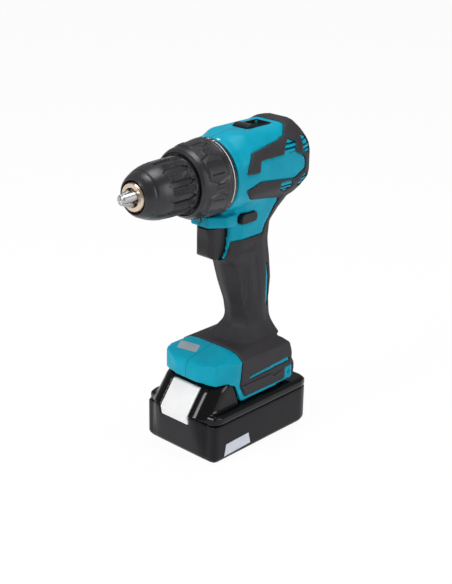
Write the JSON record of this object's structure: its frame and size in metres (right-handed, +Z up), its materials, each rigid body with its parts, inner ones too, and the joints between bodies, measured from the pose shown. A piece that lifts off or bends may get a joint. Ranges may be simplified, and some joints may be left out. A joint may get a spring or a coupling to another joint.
{
  "type": "cordless drill driver",
  "caption": "Pistol-grip cordless drill driver with keyless chuck, torque ring, gear selector, reversing lever and a slide-on battery, in blue-green nylon with dark soft grips.",
  "frame": {"origin": "centre of the battery's underside, on the surface that the tool stands on", "axes": "+Z up, -Y towards the chuck's nose along the spindle, +X towards the tool's own left side"},
  "size_m": [0.0766, 0.1815, 0.2595],
  "materials": {
    "body_nylon": "fine sparked texture, satin",
    "grip_elastomer": "fine grained, dull",
    "black_nylon": "fine sparked texture, satin",
    "case_alloy": "die cast",
    "gear_steel": "machined and oiled",
    "spring_steel": "drawn wire",
    "bright_steel": "ground",
    "nose_steel": "turned, bronze tinted by hardening",
    "stator_core": "stacked sheets with enamelled copper windings",
    "lamp_lens": "clear moulded lens",
    "board_laminate": "varnished board with potted parts",
    "battery_plastic": "semi-gloss moulded",
    "cell_wrap": "shrink wrapped cells in a carrier",
    "white_plastic": "smooth moulded"
  },
  "bodies": {
    "housing": {"housing_left": "body_nylon", "housing_right": "body_nylon", "grip_left": "grip_elastomer", "grip_right": "grip_elastomer", "gear_case": "case_alloy", "motor_bracket": "black_nylon", "ring_gear_1": "gear_steel", "ring_gear_3": "gear_steel", "stator": "stator_core", "motor_bearing_front": "bright_steel", "motor_bearing_rear": "bright_steel", "spindle_bearing": "bright_steel", "switch_body": "black_nylon", "control_board": "board_laminate", "terminal_block": "black_nylon", "lamp": "lamp_lens", "clutch_spring": "spring_steel", "trigger_spring": "spring_steel", "motor_cable": "black_nylon", "housing_screw_1": "black_nylon", "housing_screw_2": "black_nylon", "housing_screw_3": "black_nylon", "housing_screw_4": "black_nylon", "housing_screw_5": "black_nylon", "housing_screw_6": "black_nylon"},
    "torque_collar": {"torque_ring": "black_nylon"},
    "clutch_plate": {"clutch_nut": "gear_steel"},
    "gear_selector": {"speed_selector": "black_nylon"},
    "shift_gear": {"shift_fork": "spring_steel", "ring_gear_2": "gear_steel"},
    "trigger_key": {"trigger": "black_nylon"},
    "reverse_lever": {"direction_lever": "black_nylon"},
    "motor_rotor": {"motor_shaft": "gear_steel", "rotor_core": "gear_steel", "fan": "black_nylon"},
    "first_carrier": {"carrier_1": "gear_steel"},
    "second_carrier": {"carrier_2": "gear_steel"},
    "chuck_spindle": {"spindle": "gear_steel", "chuck_body": "nose_steel", "chuck_screw": "spring_steel"},
    "chuck_collar": {"chuck_sleeve": "black_nylon", "chuck_nut": "gear_steel"},
    "battery": {"battery_case_lower": "battery_plastic", "battery_case_upper": "battery_plastic", "cell_pack": "cell_wrap", "battery_board": "board_laminate"},
    "latch_button": {"battery_button": "white_plastic"},
    "planet_gear_1_1": {"planet_1_1": "gear_steel"},
    "planet_gear_1_2": {"planet_1_2": "gear_steel"},
    "planet_gear_1_3": {"planet_1_3": "gear_steel"},
    "planet_gear_2_1": {"planet_2_1": "gear_steel"},
    "planet_gear_2_2": {"planet_2_2": "gear_steel"},
    "planet_gear_2_3": {"planet_2_3": "gear_steel"},
    "planet_gear_3_1": {"planet_3_1": "gear_steel"},
    "planet_gear_3_2": {"planet_3_2": "gear_steel"},
    "planet_gear_3_3": {"planet_3_3": "gear_steel"},
    "jaw_slide_1": {"jaw_1": "bright_steel"},
    "jaw_slide_2": {"jaw_2": "bright_steel"},
    "jaw_slide_3": {"jaw_3": "bright_steel"}
  },
  "joints": [
    {"name": "chuck_spin", "type": "hinge", "parent": "housing", "child": "chuck_spindle", "pos_m": [0, -0.0353, 0.225], "axis": [0, -1, 0], "continuous": true},
    {"name": "rotor_spin", "type": "hinge", "parent": "housing", "child": "motor_rotor", "pos_m": [0, 0.0216, 0.225], "axis": [0, -1, 0], "continuous": true},
    {"name": "carrier_1_spin", "type": "hinge", "parent": "housing", "child": "first_carrier", "pos_m": [0, -0.0153, 0.225], "axis": [0, -1, 0], "continuous": true},
    {"name": "carrier_2_spin", "type": "hinge", "parent": "housing", "child": "second_carrier", "pos_m": [0, -0.0245, 0.225], "axis": [0, -1, 0], "continuous": true},
    {"name": "planet_1_1_spin", "type": "hinge", "parent": "first_carrier", "child": "planet_gear_1_1", "pos_m": [0.0126, -0.0087, 0.225], "axis": [0, -1, 0], "continuous": true},
    {"name": "planet_1_2_spin", "type": "hinge", "parent": "first_carrier", "child": "planet_gear_1_2", "pos_m": [-0.0063, -0.0087, 0.23591], "axis": [0, -1, 0], "continuous": true},
    {"name": "planet_1_3_spin", "type": "hinge", "parent": "first_carrier", "child": "planet_gear_1_3", "pos_m": [-0.0063, -0.0087, 0.21409], "axis": [0, -1, 0], "continuous": true},
    {"name": "planet_2_1_spin", "type": "hinge", "parent": "second_carrier", "child": "planet_gear_2_1", "pos_m": [0.0126, -0.0201, 0.225], "axis": [0, -1, 0], "continuous": true},
    {"name": "planet_2_2_spin", "type": "hinge", "parent": "second_carrier", "child": "planet_gear_2_2", "pos_m": [-0.0063, -0.0201, 0.23591], "axis": [0, -1, 0], "continuous": true},
    {"name": "planet_2_3_spin", "type": "hinge", "parent": "second_carrier", "child": "planet_gear_2_3", "pos_m": [-0.0063, -0.0201, 0.21409], "axis": [0, -1, 0], "continuous": true},
    {"name": "planet_3_1_spin", "type": "hinge", "parent": "chuck_spindle", "child": "planet_gear_3_1", "pos_m": [0.0126, -0.0293, 0.225], "axis": [0, -1, 0], "continuous": true},
    {"name": "planet_3_2_spin", "type": "hinge", "parent": "chuck_spindle", "child": "planet_gear_3_2", "pos_m": [-0.0063, -0.0293, 0.23591], "axis": [0, -1, 0], "continuous": true},
    {"name": "planet_3_3_spin", "type": "hinge", "parent": "chuck_spindle", "child": "planet_gear_3_3", "pos_m": [-0.0063, -0.0293, 0.21409], "axis": [0, -1, 0], "continuous": true},
    {"name": "torque_ring_turn", "type": "hinge", "parent": "housing", "child": "torque_collar", "pos_m": [0, -0.0432, 0.225], "axis": [0, 1, 0], "range_deg": [0, 300]},
    {"name": "clutch_nut_feed", "type": "slide", "parent": "torque_collar", "child": "clutch_plate", "axis": [0, 1, 0], "range_m": [0, 0.0042], "deforming": ["clutch_spring"]},
    {"name": "chuck_sleeve_turn", "type": "hinge", "parent": "chuck_spindle", "child": "chuck_collar", "pos_m": [0, -0.0815, 0.225], "axis": [0, -1, 0], "range_deg": [0, 3600]},
    {"name": "jaw_1_travel", "type": "slide", "parent": "chuck_spindle", "child": "jaw_slide_1", "axis": [0, 0.9537, -0.3007], "range_m": [0, 0.0216]},
    {"name": "jaw_2_travel", "type": "slide", "parent": "chuck_spindle", "child": "jaw_slide_2", "axis": [-0.2604, 0.9537, 0.1504], "range_m": [0, 0.0216]},
    {"name": "jaw_3_travel", "type": "slide", "parent": "chuck_spindle", "child": "jaw_slide_3", "axis": [0.2604, 0.9537, 0.1504], "range_m": [0, 0.0216]},
    {"name": "selector_slide", "type": "slide", "parent": "housing", "child": "gear_selector", "axis": [0, 1, 0], "range_m": [0, 0.009]},
    {"name": "shift_gear_slide", "type": "slide", "parent": "housing", "child": "shift_gear", "axis": [0, 1, 0], "range_m": [0, 0.0045]},
    {"name": "trigger_pull", "type": "slide", "parent": "housing", "child": "trigger_key", "axis": [0, 1, 0], "range_m": [0, 0.0065], "stiffness_N_per_m": 900, "springref_m": -0.003, "deforming": ["trigger_spring"]},
    {"name": "direction_slide", "type": "slide", "parent": "housing", "child": "reverse_lever", "axis": [1, 0, 0], "range_m": [-0.0035, 0.0035]},
    {"name": "battery_slide", "type": "slide", "parent": "housing", "child": "battery", "axis": [0, -1, 0], "range_m": [0, 0.08]},
    {"name": "latch_press", "type": "slide", "parent": "battery", "child": "latch_button", "axis": [0, 0.808, -0.5891], "range_m": [0, 0.003], "stiffness_N_per_m": 600, "springref_m": -0.002}
  ],
  "couplings": [
    {"joint": "rotor_spin", "follows": "chuck_spin", "ratio": 42.875},
    {"joint": "carrier_1_spin", "follows": "chuck_spin", "ratio": 12.25},
    {"joint": "carrier_2_spin", "follows": "chuck_spin", "ratio": 3.5},
    {"joint": "planet_1_1_spin", "follows": "chuck_spin", "ratio": -40.833},
    {"joint": "planet_1_2_spin", "follows": "chuck_spin", "ratio": -40.833},
    {"joint": "planet_1_3_spin", "follows": "chuck_spin", "ratio": -40.833},
    {"joint": "planet_2_1_spin", "follows": "chuck_spin", "ratio": -11.667},
    {"joint": "planet_2_2_spin", "follows": "chuck_spin", "ratio": -11.667},
    {"joint": "planet_2_3_spin", "follows": "chuck_spin", "ratio": -11.667},
    {"joint": "planet_3_1_spin", "follows": "chuck_spin", "ratio": -3.3333},
    {"joint": "planet_3_2_spin", "follows": "chuck_spin", "ratio": -3.3333},
    {"joint": "planet_3_3_spin", "follows": "chuck_spin", "ratio": -3.3333},
    {"joint": "torque_ring_turn", "follows": "clutch_nut_feed", "rad_per_m": 1246},
    {"joint": "shift_gear_slide", "follows": "selector_slide", "ratio": 0.5},
    {"joint": "jaw_2_travel", "follows": "jaw_1_travel", "ratio": 1},
    {"joint": "jaw_3_travel", "follows": "jaw_1_travel", "ratio": 1},
    {"joint": "chuck_sleeve_turn", "follows": "jaw_1_travel", "rad_per_m": 2900}
  ]
}
